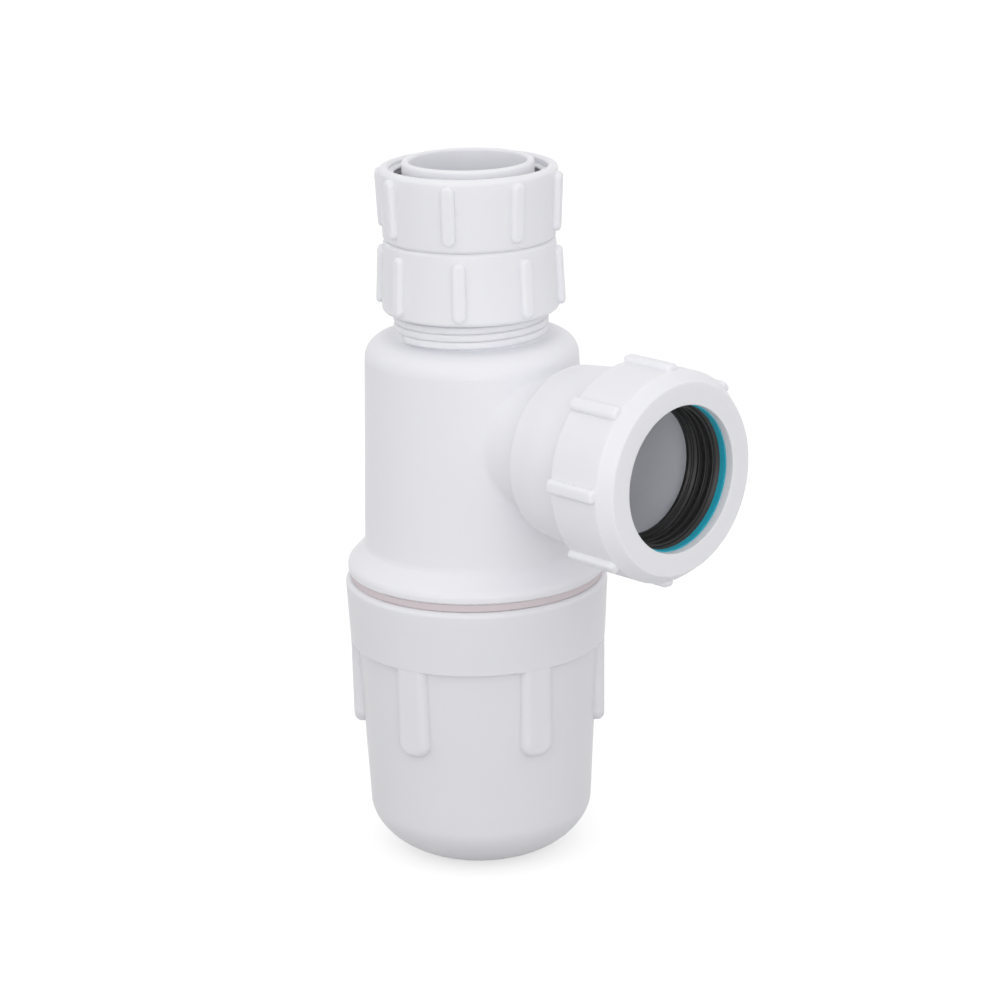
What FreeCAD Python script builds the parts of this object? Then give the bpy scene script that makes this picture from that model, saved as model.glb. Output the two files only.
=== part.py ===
"""Telescopic bottle trap for a 1 1/2 inch waste: one STEP file for each piece, in millimetres.

The origin is the middle of the cup's flat base, +Z goes up the trap's axis and +X along the outlet.
"""
import FreeCAD, Part
import math
import os

# Cup, the screwed-on bottom of the bottle, measured inwards from the rim of its collar
CUP_FLAT_R = 16.5
CUP_FLOOR = 2.6
CUP_CORNER_Z = 16.0
CUP_CORNER_PULL = 0.47
CUP_WALL = 2.3
CUP_WALL_DRAFT = 2.75
CUP_STEP_Z = 69.6
CUP_STEP = 2.2
CUP_COLLAR_R = 41.35
CUP_COLLAR_H = 20.7
CUP_COLLAR_DRAFT = 1.05
CUP_COLLAR_WALL = 3.75
CUP_RIM_ROUND = 1.6
CUP_THREAD_LEDGE = 4.0
CUP_THREAD_ROOM = 1.2
CUP_RIBS = 6
CUP_RIB_WIDTH = 10.4
CUP_RIB_L = 28.8
CUP_RIB_INSET = 0.1
CUP_RIB_DRAFT = 0.3
CUP_RIB_END_ROUND = 4.4
CUP_RIB_EDGE = 2.4
CUP_RIB_TURN = -15.7

# Flat seal between the cup's rim and the body's flange
SEAL_T = 2.5
SEAL_RECESS = 1.75
SEAL_OVERHANG = 0.1

# Body: flange, bottle wall, shoulder, neck and dip tube in one moulding
FLANGE_RECESS = 0.95
FLANGE_LAND = 2.8
FLANGE_ROUND = 2.6
FLANGE_ROOT = 2.5
FLARE_H = 5.9
FLARE_ROUND = 2.6
BODY_R = 33.0
BODY_DRAFT = 1.9
BODY_WALL = 2.4
SHOULDER_RISE = 29.0
SHOULDER_ROUND = 6.5
SHOULDER_WALL = 3.0
NECK_WALL = 2.0
NECK_SHOWN = 8.5
NECK_MOUTH_FLARE = 1.3
NECK_THREAD_ROOM = 1.5
CUP_SPIGOT_WALL = 2.2
CUP_SPIGOT_L = 16.2
DIP_WALL = 2.3
DIP_FOOT_Z = 44.0

# Outlet branch, measured out from the trap's axis, and the socket for the waste pipe
OUTLET_RISE = 45.6
BRANCH_NECK_R = 20.8
BRANCH_WALL = 2.3
BRANCH_BLEND = 2.5
BRANCH_CREASE_X = 42.3
BRANCH_CREASE_ROUND = 2.0
BRANCH_BELLY_L = 10.7
BRANCH_BELLY_SWELL = 1.2
BRANCH_BELLY_ROUND = 30.0
BRANCH_SHOULDER_L = 20.2
BRANCH_SHOULDER_SWELL = 0.1
BRANCH_THREAD_ROOM = 1.4
PIPE_R = 21.5
PIPE_ROOM = 0.2
PIPE_STOP_WALL = 3.7
PIPE_SOCKET_ROOM = 1.1
SOCKET_DEPTH = 10.0
SOCKET_WALL = 2.1

# Outlet nut, slip ring and ribbed seal
OUTLET_NUT_GAP = 2.7
OUTLET_NUT_L = 23.1
OUTLET_NUT_WALL = 4.2
OUTLET_LIP = 2.8
OUTLET_BEVEL_R = 3.0
OUTLET_BEVEL_X = 4.2
OUTLET_BEVEL_ROUND = 1.0
OUTLET_RIB_FROM_MOUTH = 0.3
OUTLET_RIB_END_ROUND = 1.4
OUTLET_RIB_TURN = 1.5
SLIP_RING_T = 2.2
OUTLET_SEAL_WALL = 2.7
OUTLET_SEAL_LEAD = 1.0
OUTLET_SEAL_STOP = 2.1
OUTLET_SEAL_RIDGES = 3
OUTLET_SEAL_RIDGE_H = 0.4
OUTLET_SEAL_RIDGE_W = 1.6
OUTLET_SEAL_RIDGE_SHARE = 0.75
OUTLET_SEAL_FLANGE_T = 1.3
OUTLET_SEAL_FLOOR_T = 1.0
OUTLET_SEAL_TAPER_L = 3.0

# Clamp nut on the neck, with its slip ring and wedge seal
CLAMP_NUT_H = 22.2
CLAMP_RING_T = 1.7
CLAMP_SEAL_T = 3.0
CLAMP_SEAL_WEDGE = 2.6
CLAMP_RIB_TURN = -5.5

# Inlet nut, washer and telescopic tube
INLET_NUT_H = 22.3
INLET_RIB_TURN = -11.3
WASHER_DEPTH = 3.4
WASHER_T = 3.0
WASHER_ROOM = 2.0
TUBE_R = 20.2
TUBE_WALL = 2.2
TUBE_L = 112.0
TUBE_PROUD = 1.6
TUBE_ROOM = 0.5
TUBE_FLANGE_INSET = 0.2
TUBE_FLANGE_T = 2.5
TUBE_RIM_SHARE = 0.4

# Shared by the inlet nut and the clamp nut
NUT_WALL = 2.3
NUT_DRAFT = 0.9
NUT_MOUTH_FLARE = 0.7
NUT_LIP = 3.0
NUT_EDGE = 0.8
NUT_RIM_ROUND = 1.5

# Finger ribs on the nuts
NUT_RIBS = 8
RIB_WIDTH = 4.2
RIB_PROUD = 1.9
RIB_EDGE = 1.2
RIB_ROOT = 1.8
RIB_FROM_LIP = 2.4
RIB_FROM_MOUTH = 1.5

# Clearances and small edges
FIT = 0.4
GRIP = 0.15
SOFT_EDGE = 0.6
FINE_EDGE = 0.3
OVERLAP = 0.5
TOUCHING = 1e-6

# Heights that follow, from the cup's base upwards
CUP_RIM_Z = CUP_STEP_Z + CUP_COLLAR_H
CUP_THREAD_BORE_Z = CUP_STEP_Z + CUP_THREAD_LEDGE
CUP_RIB_FOOT_Z = CUP_STEP_Z - CUP_RIB_L
FLANGE_Z = CUP_RIM_Z + SEAL_T
FLANGE_EDGE_Z = FLANGE_Z + FLANGE_LAND
FLARE_TOP_Z = FLANGE_EDGE_Z + FLARE_H
CUP_SPIGOT_Z = FLANGE_Z - CUP_SPIGOT_L
OUTLET_Z = FLANGE_Z + OUTLET_RISE
SHOULDER_Z = OUTLET_Z + SHOULDER_RISE
CLAMP_NUT_Z = SHOULDER_Z + NECK_SHOWN
NUT_JOIN_Z = CLAMP_NUT_Z + CLAMP_NUT_H
NECK_TOP_Z = NUT_JOIN_Z - NUT_LIP - CLAMP_RING_T - CLAMP_SEAL_T
INLET_RIM_Z = NUT_JOIN_Z + INLET_NUT_H
WASHER_TOP_Z = INLET_RIM_Z - WASHER_DEPTH
WASHER_Z = WASHER_TOP_Z - WASHER_T
TUBE_TOP_Z = INLET_RIM_Z + TUBE_PROUD
TUBE_FOOT_Z = TUBE_TOP_Z - TUBE_L

# Radii that follow, of the cup and the flange
CUP_COLLAR_LOW_R = CUP_COLLAR_R - CUP_COLLAR_DRAFT
CUP_STEP_WALL_R = CUP_COLLAR_LOW_R - CUP_STEP
CUP_CORNER_R = CUP_STEP_WALL_R - CUP_WALL_DRAFT
CUP_RIB_TOP_R = CUP_COLLAR_LOW_R - CUP_RIB_INSET
CUP_RIB_FOOT_R = CUP_RIB_TOP_R - CUP_RIB_DRAFT
CUP_THREAD_BORE_R = CUP_COLLAR_R - CUP_COLLAR_WALL
CUP_SPIGOT_R = CUP_THREAD_BORE_R - CUP_THREAD_ROOM
SEAL_OUTER_R = CUP_COLLAR_R - SEAL_RECESS
SEAL_INNER_R = CUP_THREAD_BORE_R - SEAL_OVERHANG
FLANGE_R = CUP_COLLAR_R - FLANGE_RECESS
BODY_LOW_R = BODY_R + BODY_DRAFT

# Radii that follow from the telescopic tube
TUBE_BORE_R = TUBE_R - TUBE_WALL
DIP_BORE_R = TUBE_R + TUBE_ROOM
DIP_R = DIP_BORE_R + DIP_WALL
NECK_R = DIP_BORE_R + NECK_WALL
NECK_MOUTH_R = DIP_BORE_R + NECK_MOUTH_FLARE
NUT_BORE_R = NECK_R + NECK_THREAD_ROOM
NUT_CLOSED_R = NUT_BORE_R + NUT_WALL
NUT_OPEN_R = NUT_CLOSED_R + NUT_DRAFT
WASHER_R = NUT_BORE_R - WASHER_ROOM
TUBE_FLANGE_R = WASHER_R - TUBE_FLANGE_INSET

# Radii that follow from the waste pipe
SLIP_RING_BORE_R = PIPE_R + PIPE_ROOM
OUTLET_HOLE_R = SLIP_RING_BORE_R + FIT
OUTLET_SEAL_BORE_R = PIPE_R - GRIP
OUTLET_SEAL_RIDGE_R = OUTLET_SEAL_BORE_R - OUTLET_SEAL_RIDGE_H
OUTLET_SEAL_MOUTH_R = PIPE_R + OUTLET_SEAL_LEAD
OUTLET_SEAL_HOLE_R = PIPE_R - OUTLET_SEAL_STOP
PIPE_SOCKET_R = PIPE_R + PIPE_SOCKET_ROOM
SOCKET_R = PIPE_R + OUTLET_SEAL_WALL
BRANCH_THREAD_R = SOCKET_R + SOCKET_WALL
OUTLET_NUT_BORE_R = BRANCH_THREAD_R + BRANCH_THREAD_ROOM
OUTLET_NUT_R = OUTLET_NUT_BORE_R + OUTLET_NUT_WALL
BRANCH_SHOULDER_R = BRANCH_THREAD_R
BRANCH_BELLY_R = BRANCH_SHOULDER_R + BRANCH_BELLY_SWELL
BRANCH_SHOULDER_END_R = BRANCH_BELLY_R + BRANCH_SHOULDER_SWELL
BRANCH_BORE_R = BRANCH_NECK_R - BRANCH_WALL

# Distances that follow, outwards along the branch
PIPE_STOP_X = BRANCH_CREASE_X + PIPE_STOP_WALL
BRANCH_BELLY_X = BRANCH_CREASE_X + BRANCH_BELLY_L
BRANCH_SHOULDER_END_X = BRANCH_CREASE_X + BRANCH_SHOULDER_L
OUTLET_NUT_X = BRANCH_SHOULDER_END_X + OUTLET_NUT_GAP
OUTLET_FACE_X = OUTLET_NUT_X + OUTLET_NUT_L
SLIP_RING_X = OUTLET_FACE_X - OUTLET_LIP - SLIP_RING_T
BRANCH_END_X = SLIP_RING_X - OUTLET_SEAL_FLANGE_T
SOCKET_X = BRANCH_END_X - SOCKET_DEPTH
OUTLET_SEAL_TAPER_X = SOCKET_X + OUTLET_SEAL_TAPER_L


def rounded_wire(points):
    """A closed wire in the XZ plane through (radius, height, corner radius) points."""
    corners = []
    count = len(points)
    for i, (r, z, fillet) in enumerate(points):
        here = FreeCAD.Vector(r, 0, z)
        if fillet <= 0:
            corners.append((here, None, here))
            continue
        before = FreeCAD.Vector(points[i - 1][0], 0, points[i - 1][1])
        after = FreeCAD.Vector(points[(i + 1) % count][0], 0, points[(i + 1) % count][1])
        to_before = (before - here).normalize()
        to_after = (after - here).normalize()
        half = to_before.getAngle(to_after) / 2
        reach = fillet / math.tan(half)
        bisector = (to_before + to_after).normalize()
        middle = here + bisector * (fillet / math.sin(half) - fillet)
        corners.append((here + to_before * reach, middle, here + to_after * reach))
    edges = []
    for i, (start, middle, end) in enumerate(corners):
        if middle is not None:
            edges.append(Part.Arc(start, middle, end).toShape())
        following = corners[(i + 1) % count][0]
        if (following - end).Length > TOUCHING:
            edges.append(Part.makeLine(end, following))
    return Part.Wire(edges)


def spun(wire):
    """A solid of revolution about Z from a closed wire in the XZ plane."""
    return Part.Face(wire).revolve(FreeCAD.Vector(0, 0, 0), FreeCAD.Vector(0, 0, 1), 360)


def turned(points):
    """A solid of revolution about Z from a closed outline of (radius, height, corner radius) points."""
    return spun(rounded_wire(points))


def washer(inner_r, outer_r, low_z, high_z, edge=0.0):
    """A plain ring about Z with its outer edges rounded by edge."""
    return turned([
        (inner_r, low_z, 0),
        (outer_r, low_z, edge),
        (outer_r, high_z, edge),
        (inner_r, high_z, 0),
    ])


def around(shape, count, start_angle):
    """Copies of a shape spaced evenly about Z, the first turned by start_angle degrees."""
    copies = []
    for i in range(count):
        copy = shape.copy()
        copy.rotate(FreeCAD.Vector(0, 0, 0), FreeCAD.Vector(0, 0, 1), start_angle + 360.0 * i / count)
        copies.append(copy)
    return copies


def lay_along_outlet(shape, flip=False):
    """Turns a shape built about Z so that its axis is the outlet's. Height becomes distance along X."""
    laid = shape.copy()
    laid.rotate(FreeCAD.Vector(0, 0, 0), FreeCAD.Vector(0, 1, 0), -90 if flip else 90)
    laid.translate(FreeCAD.Vector(0, 0, OUTLET_Z))
    return laid


def bar_rib(width, end_round, edge, low_z, high_z, low_r, high_r, depth):
    """A bar standing out of a wall along +X, its outer face running from low_r up to high_r.

    end_round rounds the bar's corners in front view, and edge the edges of its outer face.
    """
    half = width / 2
    slope = math.degrees(math.atan2(high_r - low_r, high_z - low_z))
    outline = rounded_wire([
        (-half, 0, end_round),
        (half, 0, end_round),
        (half, high_z - low_z, end_round),
        (-half, high_z - low_z, end_round),
    ])
    bar = Part.Face(outline).extrude(FreeCAD.Vector(0, depth, 0))
    bar.rotate(FreeCAD.Vector(0, 0, 0), FreeCAD.Vector(0, 0, 1), -90)
    outer = [e for e in bar.Edges if e.BoundBox.XMin > depth - OVERLAP]
    bar = bar.makeFillet(edge, outer)
    bar.translate(FreeCAD.Vector(-depth, 0, 0))
    bar.rotate(FreeCAD.Vector(0, 0, 0), FreeCAD.Vector(0, 1, 0), slope)
    bar.translate(FreeCAD.Vector(low_r, 0, low_z))
    return bar


def ribbed_nut(height, closed_r, open_r, bore_r, hole_r, lip, bevel, ribs):
    """A nut about Z with its lip at z = 0 and its open end at z = height.

    bevel is (radial, axial, corner radius) at the edge of the lip, and ribs is
    (distance from the lip's face, distance from the open end, end round, turn in degrees).
    """
    bevel_r, bevel_z, bevel_round = bevel
    from_lip, from_mouth, end_round, turn = ribs
    mouth_r = bore_r + NUT_MOUTH_FLARE
    shell = turned([
        (hole_r, 0, FINE_EDGE),
        (closed_r - bevel_r, 0, bevel_round / 2),
        (closed_r, bevel_z, bevel_round),
        (open_r, height, NUT_RIM_ROUND),
        (mouth_r, height, FINE_EDGE),
        (bore_r, height - (mouth_r - bore_r), 0),
        (bore_r, lip, FINE_EDGE),
        (hole_r, lip, 0),
    ])
    rib = bar_rib(
        RIB_WIDTH, end_round, RIB_EDGE, from_lip, height - from_mouth,
        closed_r + RIB_PROUD, open_r + RIB_PROUD, RIB_PROUD + RIB_ROOT,
    )
    return shell.fuse(around(rib, NUT_RIBS, turn)).removeSplitter()


def bowl_wire(flat_r, corner_r, corner_z, floor_z, upper):
    """Half outline of a bowl whose bottom corner is one curve, tangent to the floor and to the wall.

    upper lists the (radius, height) points above the corner.
    """
    start = FreeCAD.Vector(flat_r, 0, floor_z)
    end = FreeCAD.Vector(corner_r, 0, corner_z)
    along_floor = start + FreeCAD.Vector((corner_r - flat_r) * CUP_CORNER_PULL, 0, 0)
    down_wall = end - FreeCAD.Vector(0, 0, (corner_z - floor_z) * CUP_CORNER_PULL)
    corner = Part.BezierCurve()
    corner.setPoles([start, along_floor, down_wall, end])
    points = [end] + [FreeCAD.Vector(r, 0, z) for r, z in upper]
    points += [FreeCAD.Vector(0, 0, upper[-1][1]), FreeCAD.Vector(0, 0, floor_z), start]
    edges = [Part.makeLine(a, b) for a, b in zip(points[:-1], points[1:])]
    return Part.Wire([corner.toShape()] + edges)


def cup_rib():
    """One wide finger rib of the cup at +X, which comes out from under the collar."""
    return bar_rib(
        CUP_RIB_WIDTH, CUP_RIB_END_ROUND, CUP_RIB_EDGE, CUP_RIB_FOOT_Z, CUP_STEP_Z + CUP_RIB_END_ROUND,
        CUP_RIB_FOOT_R, CUP_RIB_TOP_R, CUP_RIB_FOOT_R - CUP_CORNER_R + CUP_WALL,
    )


def cup():
    """The bottle's screwed-on bottom with its collar, step and finger ribs."""
    body = spun(bowl_wire(CUP_FLAT_R, CUP_CORNER_R, CUP_CORNER_Z, 0.0, [
        (CUP_STEP_WALL_R, CUP_STEP_Z + OVERLAP),
    ]))
    collar = turned([
        (0, CUP_STEP_Z, 0),
        (CUP_COLLAR_LOW_R, CUP_STEP_Z, SOFT_EDGE),
        (CUP_COLLAR_R, CUP_RIM_Z, CUP_RIM_ROUND),
        (0, CUP_RIM_Z, 0),
    ])
    ribs = around(cup_rib(), CUP_RIBS, CUP_RIB_TURN)
    inner_r = CUP_CORNER_R - CUP_WALL
    hollow = spun(bowl_wire(CUP_FLAT_R, inner_r, CUP_CORNER_Z, CUP_FLOOR, [
        (CUP_STEP_WALL_R - CUP_WALL, CUP_STEP_Z),
        (CUP_STEP_WALL_R - CUP_WALL, CUP_RIM_Z + OVERLAP),
    ]))
    thread_bore = turned([
        (0, CUP_THREAD_BORE_Z, 0),
        (CUP_THREAD_BORE_R, CUP_THREAD_BORE_Z, 0),
        (CUP_THREAD_BORE_R, CUP_RIM_Z + OVERLAP, 0),
        (0, CUP_RIM_Z + OVERLAP, 0),
    ])
    outside = body.fuse([collar] + ribs).removeSplitter()
    return outside.cut(hollow.fuse(thread_bore)).removeSplitter()


def branch_outside():
    """The outlet branch as a filled turning along X, starting at the trap's axis."""
    return lay_along_outlet(turned([
        (0, 0, 0),
        (BRANCH_NECK_R, 0, 0),
        (BRANCH_NECK_R, BRANCH_CREASE_X, FINE_EDGE),
        (BRANCH_SHOULDER_R, BRANCH_CREASE_X, BRANCH_CREASE_ROUND),
        (BRANCH_BELLY_R, BRANCH_BELLY_X, BRANCH_BELLY_ROUND),
        (BRANCH_SHOULDER_END_R, BRANCH_SHOULDER_END_X, FINE_EDGE),
        (BRANCH_THREAD_R, BRANCH_SHOULDER_END_X, 0),
        (BRANCH_THREAD_R, BRANCH_END_X, SOFT_EDGE),
        (0, BRANCH_END_X, 0),
    ]))


def bottle_outside():
    """The bottle, flange and neck as one filled turning."""
    return turned([
        (0, CUP_SPIGOT_Z, 0),
        (CUP_SPIGOT_R, CUP_SPIGOT_Z, SOFT_EDGE),
        (CUP_SPIGOT_R, FLANGE_Z, 0),
        (FLANGE_R, FLANGE_Z, SOFT_EDGE),
        (FLANGE_R, FLANGE_EDGE_Z, FLANGE_ROUND),
        (BODY_LOW_R, FLARE_TOP_Z, FLARE_ROUND),
        (BODY_R, SHOULDER_Z, SHOULDER_ROUND),
        (NECK_R, SHOULDER_Z, SOFT_EDGE),
        (NECK_R, NECK_TOP_Z, FINE_EDGE),
        (0, NECK_TOP_Z, 0),
    ])


def trap_body():
    """Bottle, neck, outlet branch and dip tube: the trap's main moulding."""
    outside = bottle_outside().fuse(branch_outside()).removeSplitter()
    outside = outside.makeFillet(BRANCH_BLEND, branch_root_edges(outside))
    dip = Part.makeCylinder(DIP_R, SHOULDER_Z - DIP_FOOT_Z, FreeCAD.Vector(0, 0, DIP_FOOT_Z))
    spigot_bore_r = CUP_SPIGOT_R - CUP_SPIGOT_WALL
    inner_r = BODY_R - BODY_WALL
    cavity = turned([
        (DIP_R, CUP_SPIGOT_Z - OVERLAP, 0),
        (spigot_bore_r, CUP_SPIGOT_Z - OVERLAP, 0),
        (spigot_bore_r, FLANGE_Z + FLANGE_ROOT, FLANGE_ROUND),
        (BODY_LOW_R - BODY_WALL, FLARE_TOP_Z, FLARE_ROUND),
        (inner_r, SHOULDER_Z - SHOULDER_WALL, SHOULDER_ROUND - BODY_WALL),
        (DIP_R, SHOULDER_Z - SHOULDER_WALL, SOFT_EDGE),
    ])
    bore = Part.makeCylinder(DIP_BORE_R, NECK_TOP_Z - DIP_FOOT_Z, FreeCAD.Vector(0, 0, DIP_FOOT_Z))
    mouth = turned([
        (0, NECK_TOP_Z - CLAMP_SEAL_WEDGE, 0),
        (DIP_BORE_R, NECK_TOP_Z - CLAMP_SEAL_WEDGE, 0),
        (NECK_MOUTH_R, NECK_TOP_Z, 0),
        (NECK_MOUTH_R, NECK_TOP_Z + OVERLAP, 0),
        (0, NECK_TOP_Z + OVERLAP, 0),
    ])
    waterway = lay_along_outlet(turned([
        (0, DIP_R, 0),
        (BRANCH_BORE_R, DIP_R, 0),
        (BRANCH_BORE_R, PIPE_STOP_X, FINE_EDGE),
        (PIPE_SOCKET_R, PIPE_STOP_X, 0),
        (PIPE_SOCKET_R, SOCKET_X, FINE_EDGE),
        (SOCKET_R, SOCKET_X, 0),
        (SOCKET_R, BRANCH_END_X + OVERLAP, 0),
        (0, BRANCH_END_X + OVERLAP, 0),
    ]))
    hollow = outside.cut(cavity).cut(waterway)
    return hollow.fuse(dip).cut([bore, mouth]).removeSplitter()


def branch_root_edges(shape):
    """The edges where the branch's neck leaves the bottle."""
    found = []
    for edge in shape.Edges:
        box = edge.BoundBox
        beside = 0 < box.XMin and box.XMax < BRANCH_CREASE_X - OVERLAP
        low = box.ZMin > OUTLET_Z - BRANCH_NECK_R - OVERLAP
        high = box.ZMax < OUTLET_Z + BRANCH_NECK_R + OVERLAP
        if beside and low and high:
            found.append(edge)
    return found


def cup_seal():
    """Flat rubber ring between the cup's rim and the flange."""
    return washer(SEAL_INNER_R, SEAL_OUTER_R, CUP_RIM_Z, FLANGE_Z, FINE_EDGE)


def outlet_nut():
    """Compression nut of the outlet, lip outwards."""
    nut = ribbed_nut(
        OUTLET_NUT_L,
        OUTLET_NUT_R,
        OUTLET_NUT_R,
        OUTLET_NUT_BORE_R,
        OUTLET_HOLE_R,
        OUTLET_LIP,
        (OUTLET_BEVEL_R, OUTLET_BEVEL_X, OUTLET_BEVEL_ROUND),
        (OUTLET_BEVEL_X, OUTLET_RIB_FROM_MOUTH, OUTLET_RIB_END_ROUND, OUTLET_RIB_TURN),
    )
    nut.translate(FreeCAD.Vector(0, 0, -OUTLET_FACE_X))
    return lay_along_outlet(nut, flip=True)


def outlet_slip_ring():
    """Hard plastic ring between the outlet nut's lip and its seal."""
    return lay_along_outlet(washer(
        SLIP_RING_BORE_R, OUTLET_NUT_BORE_R - FIT, SLIP_RING_X, SLIP_RING_X + SLIP_RING_T, FINE_EDGE,
    ))


def outlet_seal():
    """Rubber cup in the outlet's socket, with ridges inside and a flange over the branch's end."""
    pitch = (SLIP_RING_X - OUTLET_SEAL_TAPER_X) / OUTLET_SEAL_RIDGES
    half = OUTLET_SEAL_RIDGE_W / 2
    inside = []
    for i in range(OUTLET_SEAL_RIDGES):
        crest_x = SLIP_RING_X - (i + OUTLET_SEAL_RIDGE_SHARE) * pitch
        inside.append((OUTLET_SEAL_BORE_R, crest_x + half, 0))
        inside.append((OUTLET_SEAL_RIDGE_R, crest_x, FINE_EDGE))
        inside.append((OUTLET_SEAL_BORE_R, crest_x - half, 0))
    inside[-1] = (OUTLET_SEAL_RIDGE_R, OUTLET_SEAL_TAPER_X, 0)
    return lay_along_outlet(turned([
        (OUTLET_SEAL_HOLE_R, SOCKET_X, 0),
        (SOCKET_R, SOCKET_X, 0),
        (SOCKET_R, BRANCH_END_X, 0),
        (BRANCH_THREAD_R - FIT, BRANCH_END_X, 0),
        (BRANCH_THREAD_R - FIT, SLIP_RING_X, 0),
        (OUTLET_SEAL_MOUTH_R, SLIP_RING_X, 0),
    ] + inside + [
        (OUTLET_SEAL_HOLE_R, SOCKET_X + OUTLET_SEAL_FLOOR_T, 0),
    ]))


def clamp_nut():
    """Nut that squeezes the neck's seal on to the telescopic tube, lip upwards."""
    nut = ribbed_nut(
        CLAMP_NUT_H, NUT_CLOSED_R, NUT_OPEN_R, NUT_BORE_R, TUBE_R + FIT, NUT_LIP,
        (NUT_EDGE, NUT_EDGE, SOFT_EDGE), (RIB_FROM_LIP, RIB_FROM_MOUTH, RIB_WIDTH / 2, -CLAMP_RIB_TURN),
    )
    nut.rotate(FreeCAD.Vector(0, 0, 0), FreeCAD.Vector(1, 0, 0), 180)
    nut.translate(FreeCAD.Vector(0, 0, NUT_JOIN_Z))
    return nut


def clamp_ring():
    """Hard slip ring under the clamp nut's lip."""
    high_z = NUT_JOIN_Z - NUT_LIP
    return washer(TUBE_R + FIT, NUT_BORE_R - FIT, high_z - CLAMP_RING_T, high_z, FINE_EDGE)


def clamp_seal():
    """Rubber wedge ring between the neck's mouth and the slip ring."""
    high_z = NECK_TOP_Z + CLAMP_SEAL_T
    return turned([
        (TUBE_R + GRIP, NECK_TOP_Z - CLAMP_SEAL_WEDGE, 0),
        (DIP_BORE_R, NECK_TOP_Z - CLAMP_SEAL_WEDGE, 0),
        (NECK_MOUTH_R, NECK_TOP_Z, 0),
        (NUT_BORE_R - FIT, NECK_TOP_Z, FINE_EDGE),
        (NUT_BORE_R - FIT, high_z, FINE_EDGE),
        (TUBE_R + GRIP, high_z, 0),
    ])


def inlet_nut():
    """Loose nut that joins the trap to the basin's waste, open end upwards."""
    nut = ribbed_nut(
        INLET_NUT_H, NUT_CLOSED_R, NUT_OPEN_R, NUT_BORE_R, TUBE_R + FIT, NUT_LIP,
        (NUT_EDGE, NUT_EDGE, SOFT_EDGE), (RIB_FROM_LIP, RIB_FROM_MOUTH, RIB_WIDTH / 2, INLET_RIB_TURN),
    )
    nut.translate(FreeCAD.Vector(0, 0, NUT_JOIN_Z))
    return nut


def inlet_washer():
    """Rubber washer lying on the tube's flange."""
    return washer(TUBE_R + GRIP, WASHER_R, WASHER_Z, WASHER_TOP_Z, FINE_EDGE)


def inlet_tube():
    """Telescopic tube with the flange that carries the washer."""
    rim_round = TUBE_WALL * TUBE_RIM_SHARE
    return turned([
        (TUBE_BORE_R, TUBE_FOOT_Z, 0),
        (TUBE_R, TUBE_FOOT_Z, SOFT_EDGE),
        (TUBE_R, WASHER_Z - TUBE_FLANGE_T, SOFT_EDGE),
        (TUBE_FLANGE_R, WASHER_Z - TUBE_FLANGE_T, FINE_EDGE),
        (TUBE_FLANGE_R, WASHER_Z, 0),
        (TUBE_R, WASHER_Z, 0),
        (TUBE_R, TUBE_TOP_Z, rim_round),
        (TUBE_BORE_R, TUBE_TOP_Z, rim_round),
    ])


PIECES = {
    "inlet_nut": inlet_nut,
    "inlet_washer": inlet_washer,
    "inlet_tube": inlet_tube,
    "clamp_nut": clamp_nut,
    "clamp_ring": clamp_ring,
    "clamp_seal": clamp_seal,
    "trap_body": trap_body,
    "outlet_nut": outlet_nut,
    "outlet_slip_ring": outlet_slip_ring,
    "outlet_seal": outlet_seal,
    "cup_seal": cup_seal,
    "cup": cup,
}

os.makedirs("parts", exist_ok=True)
for name, make in PIECES.items():
    make().exportStep("parts/" + name + ".step")
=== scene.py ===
"""Dresses the telescopic bottle trap: a finish for every piece, the screw threads and a plain studio.

Sizes that belong to the trap are in millimetres and are turned to metres where a mesh is made.
"""
from __future__ import annotations

import logging
import math
from dataclasses import dataclass
from enum import Enum

import bmesh
import bpy
from mathutils import Matrix, Vector


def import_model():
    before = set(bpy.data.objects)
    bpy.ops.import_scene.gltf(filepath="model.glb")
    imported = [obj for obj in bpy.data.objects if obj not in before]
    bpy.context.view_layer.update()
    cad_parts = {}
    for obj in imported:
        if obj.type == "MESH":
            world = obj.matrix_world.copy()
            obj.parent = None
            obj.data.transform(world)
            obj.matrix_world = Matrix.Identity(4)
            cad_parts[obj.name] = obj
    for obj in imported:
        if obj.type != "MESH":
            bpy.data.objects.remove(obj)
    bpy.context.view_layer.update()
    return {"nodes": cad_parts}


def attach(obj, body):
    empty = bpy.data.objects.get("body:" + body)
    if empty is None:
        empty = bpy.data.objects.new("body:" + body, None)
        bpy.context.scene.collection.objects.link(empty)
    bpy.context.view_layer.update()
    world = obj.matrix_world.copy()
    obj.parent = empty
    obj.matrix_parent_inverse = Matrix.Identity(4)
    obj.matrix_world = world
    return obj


MM = 0.001
OUTLET_AXIS_MM = 138.4

log = logging.getLogger("bottle_trap")


def linear(hex_colour: str) -> tuple[float, float, float, float]:
    """Turns an sRGB hex colour into a linear RGBA one.

    Args:
        hex_colour: six hex digits, such as "E4E3E8".

    Returns:
        Linear red, green, blue and an alpha of 1.
    """
    values = []
    for i in range(0, 6, 2):
        share = int(hex_colour[i:i + 2], 16) / 255
        values.append(share / 12.92 if share <= 0.04045 else ((share + 0.055) / 1.055) ** 2.4)
    return (values[0], values[1], values[2], 1.0)


def per_metre(size_mm: float) -> float:
    """The scale of a pattern whose features are size_mm apart, on coordinates in metres."""
    return 1 / (size_mm * MM)


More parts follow.
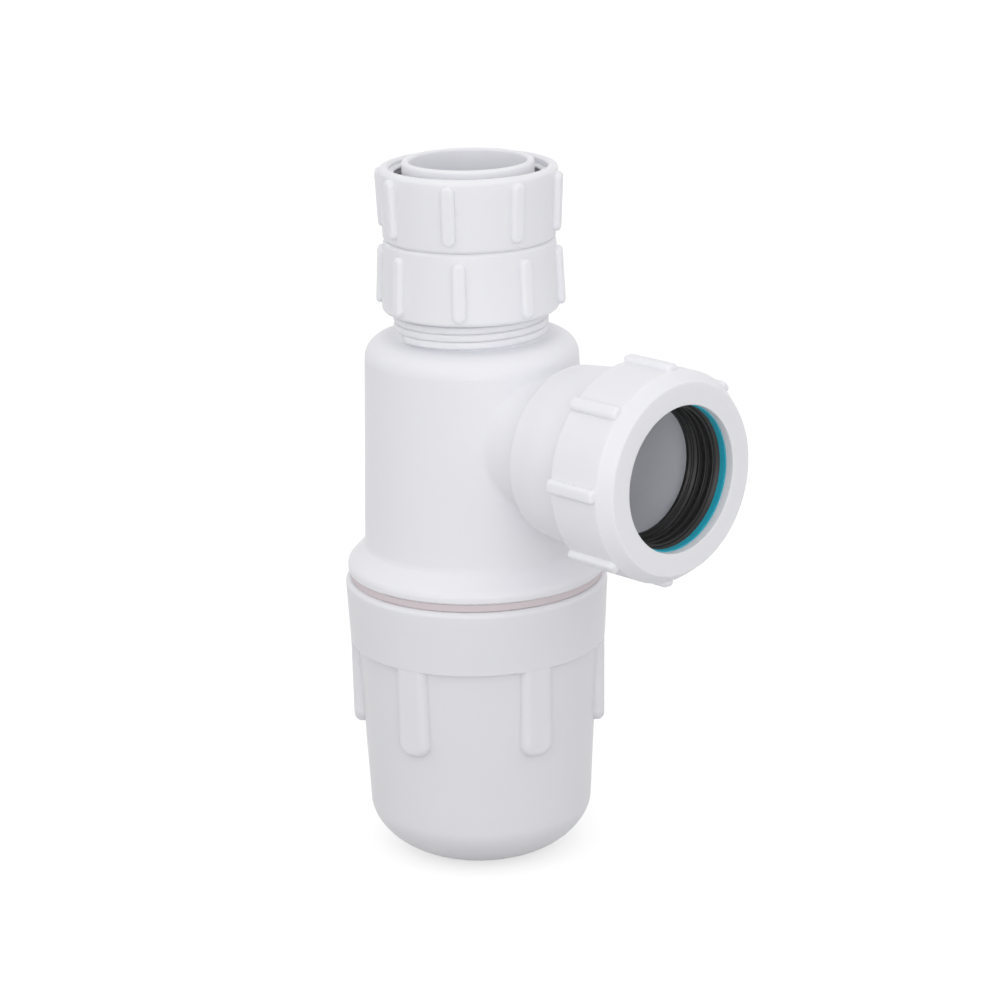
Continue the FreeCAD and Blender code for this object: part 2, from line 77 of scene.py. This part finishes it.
def add_node(tree: bpy.types.NodeTree, kind: str, settings: dict | None = None,
             links: dict | None = None, **values: object) -> bpy.types.Node:
    """Adds one node with its settings and links.

    Args:
        tree: the node tree.
        kind: the node's type, such as "ShaderNodeTexNoise".
        settings: node properties by name.
        links: output sockets by the name or index of the input they feed.
        values: default values by input name, with _ for a space.

    Returns:
        The new node.
    """
    node = tree.nodes.new(kind)
    for name, value in (settings or {}).items():
        setattr(node, name, value)
    for name, value in values.items():
        node.inputs[name.replace("_", " ")].default_value = value
    for name, socket in (links or {}).items():
        tree.links.new(socket, node.inputs[name])
    return node


def new_material(name: str) -> tuple[bpy.types.Material, bpy.types.NodeTree]:
    """A material with an empty node tree, and that tree."""
    material = bpy.data.materials.new(name)
    material.use_nodes = True
    material.node_tree.nodes.clear()
    return material, material.node_tree


def mesh_object(name: str, mesh: bmesh.types.BMesh, smooth_angle: float = 35.0) -> bpy.types.Object:
    """Turns a bmesh into a linked object, smooth except at its sharp edges.

    Args:
        name: the object's name.
        mesh: the bmesh, which is freed.
        smooth_angle: edges that turn by more than this, in degrees, stay sharp.

    Returns:
        The new object, at the origin.
    """
    for face in mesh.faces:
        face.smooth = True
    for edge in mesh.edges:
        edge.smooth = edge.is_manifold and edge.calc_face_angle(0.0) < math.radians(smooth_angle)
    data = bpy.data.meshes.new(name)
    mesh.to_mesh(data)
    mesh.free()
    made = bpy.data.objects.new(name, data)
    bpy.context.scene.collection.objects.link(made)
    return made


def lay_along_outlet(mesh: bmesh.types.BMesh) -> None:
    """Turns a mesh that was made about +Z, so that it lies about the outlet's axis."""
    lay = Matrix.Translation((0.0, 0.0, OUTLET_AXIS_MM * MM)) @ Matrix.Rotation(math.pi / 2, 4, "Y")
    bmesh.ops.transform(mesh, matrix=lay, verts=mesh.verts)


def paint(piece: bpy.types.Object, material: bpy.types.Material) -> None:
    """Gives a piece one material all over."""
    piece.data.materials.clear()
    piece.data.materials.append(material)


@dataclass(frozen=True)
class MouldedPolypropylene:
    """Injection-moulded polypropylene: satin, faintly waxy, with the soft unevenness of a cooled skin."""

    name: str
    colour: str
    shade: str
    roughness: float = 0.42
    roughness_spread: float = 0.05
    ior: float = 1.49
    subsurface: float = 0.5
    subsurface_mm: float = 2.0
    cloud_mm: float = 26.0
    grain_mm: float = 0.9
    grain_height_mm: float = 0.006
    ripple_mm: float = 9.0
    ripple_height_mm: float = 0.012

    def build(self) -> bpy.types.Material:
        """Makes the material.

        Returns:
            The finished material.
        """
        material, tree = new_material(self.name)
        place = add_node(tree, "ShaderNodeTexCoord").outputs["Object"]
        cloud = add_node(tree, "ShaderNodeTexNoise", links={"Vector": place},
                         Scale=per_metre(self.cloud_mm), Detail=3.0, Roughness=0.5)
        tint = add_node(tree, "ShaderNodeMix", {"data_type": "RGBA"}, {"Factor": cloud.outputs["Fac"]})
        tint.inputs["A"].default_value = linear(self.shade)
        tint.inputs["B"].default_value = linear(self.colour)
        # A fine mould grain is near 0.1 mm, too fine to show, so it is drawn at about a millimetre.
        grain = add_node(tree, "ShaderNodeTexNoise", links={"Vector": place},
                         Scale=per_metre(self.grain_mm), Detail=2.0, Roughness=0.6)
        ripple = add_node(tree, "ShaderNodeTexNoise", links={"Vector": place},
                          Scale=per_metre(self.ripple_mm), Detail=1.0, Roughness=0.4)
        skin = add_node(tree, "ShaderNodeBump", links={"Height": ripple.outputs["Fac"]},
                        Strength=1.0, Distance=self.ripple_height_mm * MM)
        fine = add_node(tree, "ShaderNodeBump",
                        links={"Height": grain.outputs["Fac"], "Normal": skin.outputs["Normal"]},
                        Strength=1.0, Distance=self.grain_height_mm * MM)
        gloss = add_node(tree, "ShaderNodeMapRange", links={"Value": grain.outputs["Fac"]},
                         To_Min=self.roughness - self.roughness_spread,
                         To_Max=self.roughness + self.roughness_spread)
        shader = add_node(tree, "ShaderNodeBsdfPrincipled", links={
            "Base Color": tint.outputs["Result"],
            "Roughness": gloss.outputs["Result"],
            "Normal": fine.outputs["Normal"],
        }, IOR=self.ior, Subsurface_Weight=self.subsurface, Subsurface_Radius=(1.0, 1.0, 1.0),
            Subsurface_Scale=self.subsurface_mm * MM)
        add_node(tree, "ShaderNodeOutputMaterial", links={"Surface": shader.outputs["BSDF"]})
        return material


@dataclass(frozen=True)
class MouldedRubber:
    """Compression-moulded rubber: dull, with a fine bloom that scatters light at a low angle."""

    name: str
    colour: str
    bloom: str
    roughness: float
    roughness_spread: float = 0.08
    ior: float = 1.52
    specular_level: float = 0.4
    bloom_mm: float = 3.5
    grain_mm: float = 0.7
    grain_height_mm: float = 0.02

    def build(self) -> bpy.types.Material:
        """Makes the material.

        Returns:
            The finished material.
        """
        material, tree = new_material(self.name)
        place = add_node(tree, "ShaderNodeTexCoord").outputs["Object"]
        cloud = add_node(tree, "ShaderNodeTexNoise", links={"Vector": place},
                         Scale=per_metre(self.bloom_mm), Detail=4.0, Roughness=0.6)
        tint = add_node(tree, "ShaderNodeMix", {"data_type": "RGBA"}, {"Factor": cloud.outputs["Fac"]})
        tint.inputs["A"].default_value = linear(self.colour)
        tint.inputs["B"].default_value = linear(self.bloom)
        # Rubber's own grain is finer than 0.1 mm, too fine to show, so it is drawn coarser.
        grain = add_node(tree, "ShaderNodeTexNoise", links={"Vector": place},
                         Scale=per_metre(self.grain_mm), Detail=2.0, Roughness=0.6)
        bump = add_node(tree, "ShaderNodeBump", links={"Height": grain.outputs["Fac"]},
                        Strength=1.0, Distance=self.grain_height_mm * MM)
        gloss = add_node(tree, "ShaderNodeMapRange", links={"Value": grain.outputs["Fac"]},
                         To_Min=self.roughness - self.roughness_spread,
                         To_Max=self.roughness + self.roughness_spread)
        shader = add_node(tree, "ShaderNodeBsdfPrincipled", links={
            "Base Color": tint.outputs["Result"],
            "Roughness": gloss.outputs["Result"],
            "Normal": bump.outputs["Normal"],
        }, IOR=self.ior, Specular_IOR_Level=self.specular_level)
        add_node(tree, "ShaderNodeOutputMaterial", links={"Surface": shader.outputs["BSDF"]})
        return material


@dataclass(frozen=True)
class Finishes:
    """The trap's materials, made once and shared."""

    white: bpy.types.Material
    cup_white: bpy.types.Material
    turquoise: bpy.types.Material
    black_rubber: bpy.types.Material
    pale_rubber: bpy.types.Material

    @classmethod
    def make(cls) -> Finishes:
        """Builds the materials."""
        # Satin white with a cool cast, broad soft highlights and edges that let a little light through.
        white = MouldedPolypropylene("moulded white polypropylene", "F3F3F8", "F0F0F5")
        # The cup is painted a shade greyer than the rest, as painted shade for the weaker light low down on
        # the trap.
        cup_white = MouldedPolypropylene("moulded cup polypropylene with painted shade", "EDEDF1", "EAEAEE")
        # The slip rings are the same satin moulding in a clear colour, which marks them.
        turquoise = MouldedPolypropylene("moulded turquoise polypropylene", "2CBAD2", "29B0C9")
        # Seals are dull and nearly black, with a faint sheen along their ridges.
        black_rubber = MouldedRubber("moulded black EPDM rubber", "1F1E1E", "272525", roughness=0.36)
        # The cup's seal is a soft pale ring with a warm grey cast, and looks milky.
        pale_rubber = MouldedRubber("moulded pale elastomer", "D6CBCE", "DBD1D4", roughness=0.5)
        return cls(
            white=white.build(),
            cup_white=cup_white.build(),
            turquoise=turquoise.build(),
            black_rubber=black_rubber.build(),
            pale_rubber=pale_rubber.build(),
        )


class ThreadSide(Enum):
    """The wall that a thread stands on, by the way its ridge points."""

    OUTSIDE = 1
    INSIDE = -1


class ThreadAxis(Enum):
    """The line that a thread winds about."""

    BOTTLE = "up the bottle"
    OUTLET = "along the outlet"


@dataclass(frozen=True)
class ScrewThread:
    """A right-hand moulded thread: one ridge that winds along a round wall and dies away at both ends.

    start, end and phase are distances along the axis. At phase the ridge's middle passes angle zero.
    land is how far above the wall the ridge's flanks begin, so a high land makes a shallow groove.
    """

    name: str
    body: str
    side: ThreadSide
    wall_radius: float
    height: float
    pitch: float
    phase: float
    start: float
    end: float
    root_width: float
    crest_width: float
    land: float = 0.0
    axis: ThreadAxis = ThreadAxis.BOTTLE
    sink: float = 0.25
    crest_round: float = 0.28
    crest_segments: int = 2
    run_out_turns: float = 0.16
    steps_per_turn: int = 72
    smooth_angle: float = 50.0

    def add_profile(self, mesh: bmesh.types.BMesh) -> None:
        """Adds the ridge's closed section where the thread starts."""
        out = self.side.value
        root = (self.wall_radius - out * self.sink) * MM
        foot = (self.wall_radius + out * self.land) * MM
        crest = (self.wall_radius + out * self.height) * MM
        places = (
            (root, self.start - self.root_width / 2),
            (foot, self.start - self.root_width / 2),
            (crest, self.start - self.crest_width / 2),
            (crest, self.start + self.crest_width / 2),
            (foot, self.start + self.root_width / 2),
            (root, self.start + self.root_width / 2),
        )
        corners = [mesh.verts.new((radius, 0.0, along * MM)) for radius, along in places]
        for first, second in zip(corners, corners[1:] + corners[:1]):
            mesh.edges.new((first, second))
        turn = math.tau * (self.start - self.phase) / self.pitch
        bmesh.ops.rotate(mesh, verts=corners, matrix=Matrix.Rotation(turn, 3, "Z"))

    def rise(self, place: Vector) -> float:
        """How far along the axis the ridge's middle has come at a point of the ridge."""
        once_round = self.phase + self.pitch * math.atan2(place.y, place.x) / math.tau
        turns = round((place.z / MM - once_round) / self.pitch)
        return once_round + turns * self.pitch

    def proud(self, vertex: bmesh.types.BMVert) -> float:
        """How far a vertex stands out of the wall, below zero where it is sunk in."""
        return (math.hypot(vertex.co.x, vertex.co.y) / MM - self.wall_radius) * self.side.value

    def taper_ends(self, mesh: bmesh.types.BMesh) -> None:
        """Lowers the ridge into the wall over the first and the last part of a turn."""
        run_out = self.run_out_turns * self.pitch
        for vertex in mesh.verts:
            proud = self.proud(vertex)
            if proud <= 0:
                continue
            rise = self.rise(vertex.co)
            share = min(1.0, (rise - self.start) / run_out, (self.end - rise) / run_out)
            radius = self.wall_radius + self.side.value * proud * max(share, 0.0)
            scale = radius * MM / math.hypot(vertex.co.x, vertex.co.y)
            vertex.co.x *= scale
            vertex.co.y *= scale

    def build(self) -> bpy.types.Object:
        """Winds the ridge.

        Returns:
            The thread, riding on its body.
        """
        mesh = bmesh.new()
        self.add_profile(mesh)
        turns = (self.end - self.start) / self.pitch
        steps = math.ceil(turns * self.steps_per_turn)
        climb = Vector((0.0, 0.0, (self.end - self.start) * MM / steps))
        bmesh.ops.spin(mesh, geom=mesh.verts[:] + mesh.edges[:], cent=(0.0, 0.0, 0.0), axis=(0.0, 0.0, 1.0),
                       dvec=climb, angle=math.tau * turns, steps=steps)
        flank_middle = (self.land + self.height) / 2
        crest = {vertex for vertex in mesh.verts if self.proud(vertex) > flank_middle}
        long_edges = [edge for edge in mesh.edges
                      if len(edge.link_faces) == 2 and crest.issuperset(edge.verts)
                      and abs(edge.verts[0].co.z - edge.verts[1].co.z) < self.crest_width * MM / 2]
        self.taper_ends(mesh)
        bmesh.ops.bevel(mesh, geom=long_edges, offset=self.crest_round * MM, offset_type="OFFSET",
                        segments=self.crest_segments, profile=0.5, affect="EDGES", material=-1,
                        clamp_overlap=True)
        bmesh.ops.holes_fill(mesh, edges=[edge for edge in mesh.edges if edge.is_boundary], sides=0)
        bmesh.ops.recalc_face_normals(mesh, faces=mesh.faces)
        if self.axis is ThreadAxis.OUTLET:
            lay_along_outlet(mesh)
        thread = mesh_object(self.name, mesh, self.smooth_angle)
        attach(thread, self.body)
        return thread


@dataclass
class SubAssembly:
    """Pieces that are taken apart together, with the threads that are moulded on them."""

    nodes: dict[str, bpy.types.Object]
    finishes: Finishes

    def threads(self) -> list[ScrewThread]:
        """The threads that belong to this sub-assembly."""
        return []

    def coats(self) -> dict[str, bpy.types.Material]:
        """The finish of each of its solids, by node name."""
        return {}

    def build(self) -> None:
        """Makes the threads, in the finish of the pieces they stand on."""
        for thread in self.threads():
            paint(thread.build(), self.coats().get(thread.body, self.finishes.white))
            log.info("wound %s", thread.name)

    def dress(self) -> None:
        """Gives the solids their finishes."""
        for name, material in self.coats().items():
            paint(self.nodes[name], material)
            log.info("dressed %s in %s", name, material.name)


@dataclass
class InletJoint(SubAssembly):
    """The telescopic tube with its washer and the loose nut around it."""

    nut_bore: float = 24.2
    thread_height: float = 1.6
    pitch: float = 2.309
    thread_low: float = 203.0
    thread_high: float = 218.7
    root_width: float = 1.9
    crest_width: float = 0.7

    def threads(self) -> list[ScrewThread]:
        """The nut's thread, which takes the basin's waste."""
        return [ScrewThread(
            "inlet_nut_thread", "inlet_nut", ThreadSide.INSIDE, self.nut_bore, self.thread_height, self.pitch,
            self.thread_low, self.thread_low, self.thread_high, self.root_width, self.crest_width,
        )]

    def coats(self) -> dict[str, bpy.types.Material]:
        """White nut and tube, black washer."""
        return {
            "inlet_nut": self.finishes.white,
            "inlet_tube": self.finishes.white,
            "inlet_washer": self.finishes.black_rubber,
        }


@dataclass
class ClampJoint(SubAssembly):
    """The nut that squeezes the seal on the neck, with the neck's thread."""

    neck_radius: float = 22.7
    neck_height: float = 1.2
    nut_bore: float = 24.2
    # A higher ridge would cut into the seal's rim when the nut is unscrewed.
    nut_height: float = 0.35
    pitch: float = 2.309
    phase: float = 169.71
    neck_low: float = 169.0
    neck_high: float = 189.4
    nut_low: float = 177.8
    nut_high: float = 190.0

    def threads(self) -> list[ScrewThread]:
        """The neck's thread and the nut's, whose low ridge just reaches into the neck's groove."""
        return [
            ScrewThread("neck_thread", "trap_body", ThreadSide.OUTSIDE, self.neck_radius, self.neck_height,
                        self.pitch, self.phase, self.neck_low, self.neck_high,
                        root_width=2.25, crest_width=1.5, land=0.65, run_out_turns=0.03),
            ScrewThread("clamp_nut_thread", "clamp_nut", ThreadSide.INSIDE, self.nut_bore, self.nut_height,
                        self.pitch, self.phase + self.pitch / 2, self.nut_low, self.nut_high,
                        root_width=1.05, crest_width=0.4, crest_round=0.12),
        ]

    def coats(self) -> dict[str, bpy.types.Material]:
        """White nut, turquoise slip ring, black wedge seal."""
        return {
            "clamp_nut": self.finishes.white,
            "clamp_ring": self.finishes.turquoise,
            "clamp_seal": self.finishes.black_rubber,
        }


@dataclass
class Bottle(SubAssembly):
    """The body and the cup that screws on below it."""

    spigot_radius: float = 36.4
    cup_bore: float = 37.6
    height: float = 0.95
    pitch: float = 4.0
    phase: float = 78.0
    spigot_low: float = 78.2
    spigot_high: float = 89.2
    cup_low: float = 75.2
    cup_high: float = 88.2

    def threads(self) -> list[ScrewThread]:
        """The spigot's thread and the cup's."""
        return [
            ScrewThread("spigot_thread", "trap_body", ThreadSide.OUTSIDE, self.spigot_radius, self.height,
                        self.pitch, self.phase, self.spigot_low, self.spigot_high,
                        root_width=2.2, crest_width=1.2),
            ScrewThread("cup_thread", "cup", ThreadSide.INSIDE, self.cup_bore, self.height,
                        self.pitch, self.phase + self.pitch / 2, self.cup_low, self.cup_high,
                        root_width=1.6, crest_width=0.8),
        ]

    def coats(self) -> dict[str, bpy.types.Material]:
        """White body, the cup in a greyer white that is painted shade, pale seal."""
        return {
            "trap_body": self.finishes.white,
            # The cup's greyer white is painted shade for the dimmer light low down.
            "cup": self.finishes.cup_white,
            "cup_seal": self.finishes.pale_rubber,
        }


@dataclass
class OutletJoint(SubAssembly):
    """The compression joint of the outlet: nut, slip ring, seal and the branch's thread."""

    branch_radius: float = 26.3
    nut_bore: float = 27.7
    height: float = 1.0
    pitch: float = 3.0
    phase: float = 64.0
    branch_low: float = 64.2
    branch_high: float = 80.8
    nut_low: float = 67.2
    nut_high: float = 81.4
    lip_places: tuple[tuple[float, float], ...] = (
        (81.23, 21.0), (78.46, 21.0), (75.7, 21.1), (73.9, 20.1),
    )
    lip_height: float = 0.45
    lip_width: float = 0.8
    lip_sink: float = 0.25
    lip_facets: int = 6
    lip_steps: int = 96

    def build(self) -> None:
        """Makes the threads and the seal's lips."""
        super().build()
        paint(self.seal_lips(), self.finishes.black_rubber)
        log.info("moulded outlet_seal_lips")

    def seal_lips(self) -> bpy.types.Object:
        """Soft half-round lips inside the rubber sleeve, which wipe the waste pipe.

        lip_places gives each lip's distance along the outlet and its radius.

        Returns:
            The lips as one piece, riding on the body that holds the sleeve.
        """
        mesh = bmesh.new()
        half = self.lip_width / 2
        for along, radius in self.lip_places:
            section = [(radius + self.lip_sink, along - half), (radius + self.lip_sink, along + half)]
            for step in range(self.lip_facets + 1):
                turn = math.pi * step / self.lip_facets
                section.append((radius - self.lip_height * math.sin(turn), along + half * math.cos(turn)))
            corners = [mesh.verts.new((out * MM, 0.0, place * MM)) for out, place in section]
            edges = [mesh.edges.new(pair) for pair in zip(corners, corners[1:] + corners[:1])]
            bmesh.ops.spin(mesh, geom=corners + edges, cent=(0.0, 0.0, 0.0), axis=(0.0, 0.0, 1.0),
                           angle=math.tau, steps=self.lip_steps, use_merge=True)
        bmesh.ops.recalc_face_normals(mesh, faces=mesh.faces)
        lay_along_outlet(mesh)
        lips = mesh_object("outlet_seal_lips", mesh)
        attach(lips, "trap_body")
        return lips

    def threads(self) -> list[ScrewThread]:
        """The branch's thread and the nut's."""
        return [
            ScrewThread("branch_thread", "trap_body", ThreadSide.OUTSIDE, self.branch_radius, self.height,
                        self.pitch, self.phase, self.branch_low, self.branch_high,
                        root_width=1.9, crest_width=1.0, axis=ThreadAxis.OUTLET),
            ScrewThread("outlet_nut_thread", "outlet_nut", ThreadSide.INSIDE, self.nut_bore, self.height,
                        self.pitch, self.phase + self.pitch / 2, self.nut_low, self.nut_high,
                        root_width=1.2, crest_width=0.6, axis=ThreadAxis.OUTLET, crest_round=0.2),
        ]

    def coats(self) -> dict[str, bpy.types.Material]:
        """White nut, turquoise slip ring, black seal."""
        return {
            "outlet_nut": self.finishes.white,
            "outlet_slip_ring": self.finishes.turquoise,
            "outlet_seal": self.finishes.black_rubber,
        }


@dataclass(frozen=True)
class SoftBox:
    """A square area lamp that faces the trap's middle, placed by angles counted as the camera's are."""

    name: str
    azimuth: float
    elevation: float
    distance: float
    size: float
    power: float


@dataclass
class Studio:
    """Pale floor, soft lamps and the camera that takes the photograph's view. Lengths are in metres."""

    aim_height: float = 0.1139
    azimuth: float = 46.9
    elevation: float = 17.02
    distance: float = 0.9404
    lens: float = 108.0
    roll: float = -1.23
    shift_x: float = 0.0249
    floor_half: float = 4.0
    surroundings: float = 0.83
    floor_colour: float = 0.55
    floor_glow: float = 0.6
    lamps: tuple[SoftBox, ...] = (
        SoftBox("front", 52.0, 13.0, 0.8, 0.5, 1.1),
        SoftBox("left", 12.0, 32.0, 0.8, 0.6, 0.35),
    )

    def aim(self) -> Vector:
        """The point on the bottle's axis that the camera and the lamps face."""
        return Vector((0.0, 0.0, self.aim_height))

    def direction(self, azimuth: float, elevation: float) -> Vector:
        """Unit vector from the trap towards an azimuth and elevation, in degrees."""
        a = math.radians(azimuth)
        e = math.radians(elevation)
        return Vector((math.sin(a) * math.cos(e), -math.cos(a) * math.cos(e), math.sin(e)))

    def add_camera(self) -> None:
        """Places the camera at the photograph's angle, with its small turn about the line of sight."""
        data = bpy.data.cameras.new("camera")
        data.lens = self.lens
        data.shift_x = self.shift_x
        camera = bpy.data.objects.new("camera", data)
        back = self.direction(self.azimuth, self.elevation)
        camera.location = self.aim() + back * self.distance
        level = (-back).to_track_quat("-Z", "Y").to_matrix().to_4x4()
        turned = level @ Matrix.Rotation(math.radians(self.roll), 4, "Z")
        camera.rotation_euler = turned.to_euler()
        bpy.context.scene.collection.objects.link(camera)
        bpy.context.scene.camera = camera

    def add_lamp(self, box: SoftBox) -> None:
        """Hangs one soft box."""
        data = bpy.data.lights.new(box.name, "AREA")
        data.size = box.size
        data.energy = box.power
        lamp = bpy.data.objects.new(box.name, data)
        back = self.direction(box.azimuth, box.elevation)
        lamp.location = self.aim() + back * box.distance
        lamp.rotation_euler = (-back).to_track_quat("-Z", "Y").to_euler()
        bpy.context.scene.collection.objects.link(lamp)

    def seen(self, tree: bpy.types.NodeTree) -> bpy.types.NodeSocket:
        """A socket that is 1 on what the camera sees, straight or by gloss or through glass, else 0."""
        path = add_node(tree, "ShaderNodeLightPath").outputs
        mirrored = add_node(tree, "ShaderNodeMath", {"operation": "MAXIMUM"},
                            {0: path["Is Camera Ray"], 1: path["Is Glossy Ray"]})
        through = add_node(tree, "ShaderNodeMath", {"operation": "MAXIMUM"},
                           {0: mirrored.outputs["Value"], 1: path["Is Transmission Ray"]})
        return through.outputs["Value"]

    def add_world(self) -> None:
        """Even white surroundings, pure white where they are seen and a plain light elsewhere."""
        world = bpy.data.worlds.new("studio")
        world.use_nodes = True
        tree = world.node_tree
        tree.nodes.clear()
        level = add_node(tree, "ShaderNodeMapRange", links={"Value": self.seen(tree)},
                         To_Min=self.surroundings, To_Max=1.0)
        light = add_node(tree, "ShaderNodeBackground", links={"Strength": level.outputs["Result"]},
                         Color=(1.0, 1.0, 1.0, 1.0))
        add_node(tree, "ShaderNodeOutputWorld", links={"Surface": light.outputs["Background"]})
        bpy.context.scene.world = world

    def add_floor(self) -> None:
        """White floor that still takes the trap's shadow."""
        mesh = bmesh.new()
        bmesh.ops.create_grid(mesh, x_segments=1, y_segments=1, size=self.floor_half)
        floor = mesh_object("studio_floor", mesh)
        material, tree = new_material("white studio paper")
        level = add_node(tree, "ShaderNodeMapRange", links={"Value": self.seen(tree)},
                         To_Min=0.0, To_Max=self.floor_glow)
        paper = add_node(tree, "ShaderNodeBsdfDiffuse",
                         Color=(self.floor_colour, self.floor_colour, self.floor_colour, 1.0))
        light = add_node(tree, "ShaderNodeEmission", links={"Strength": level.outputs["Result"]})
        both = add_node(tree, "ShaderNodeAddShader",
                        links={0: paper.outputs["BSDF"], 1: light.outputs["Emission"]})
        add_node(tree, "ShaderNodeOutputMaterial", links={"Surface": both.outputs["Shader"]})
        paint(floor, material)

    def build(self) -> None:
        """Sets up the whole studio."""
        bpy.context.scene.view_settings.view_transform = "Standard"
        self.add_camera()
        self.add_world()
        for box in self.lamps:
            self.add_lamp(box)
        self.add_floor()


def main() -> None:
    """Loads the frame, builds and dresses each sub-assembly, and sets up the studio."""
    logging.basicConfig(level=logging.INFO, format="%(name)s: %(message)s")
    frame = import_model()
    finishes = Finishes.make()
    for kind in (InletJoint, ClampJoint, Bottle, OutletJoint):
        part = kind(frame["nodes"], finishes)
        part.build()
        part.dress()
    Studio().build()


if __name__ == "__main__":
    main()
